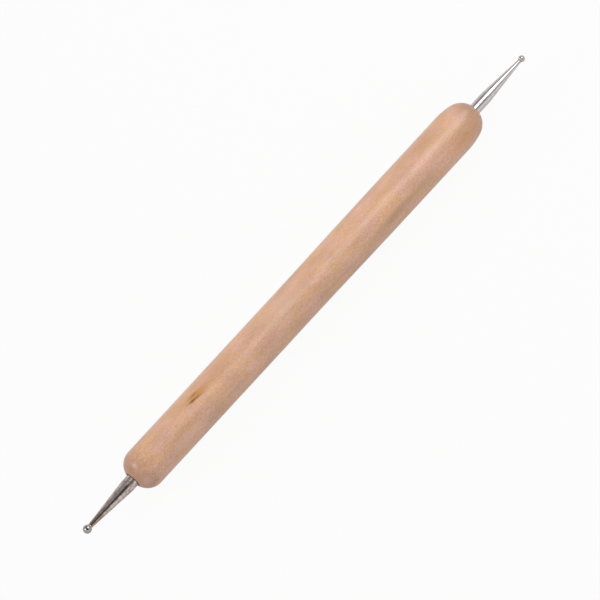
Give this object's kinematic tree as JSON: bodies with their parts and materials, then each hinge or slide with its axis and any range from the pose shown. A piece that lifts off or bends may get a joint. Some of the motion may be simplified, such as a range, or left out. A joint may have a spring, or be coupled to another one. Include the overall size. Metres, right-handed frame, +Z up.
{
  "type": "embossing stylus",
  "caption": "Double-ended embossing stylus: round turned wooden handle with a tapered steel shank and a polished ball at each end, one ball larger than the other.",
  "frame": {"origin": "on the surface that the stylus lies on, under the middle of its whole length", "axes": "+Z up, +X along the tool's axis towards the small ball, so the large ball is at -X; the axis itself is 5.075 mm above the origin"},
  "size_m": [0.1454, 0.0102, 0.0101],
  "materials": {
    "lacquered_wood": "satin clear lacquer over close-grained birch or beech",
    "ground_steel_dark": "ground, dull and a little stained",
    "ground_steel_bright": "finely ground, bright",
    "polished_steel": "polished bearing ball",
    "braze_metal": "cleaned silver-coloured braze",
    "cured_glue": "hard amber glue"
  },
  "bodies": {
    "root": {"handle": "lacquered_wood", "large_ball_shank": "ground_steel_dark", "small_ball_shank": "ground_steel_bright", "large_ball": "polished_steel", "small_ball": "polished_steel", "large_ball_braze_bead": "braze_metal", "small_ball_braze_bead": "braze_metal", "large_end_glue": "cured_glue", "small_end_glue": "cured_glue"}
  },
  "joints": []
}
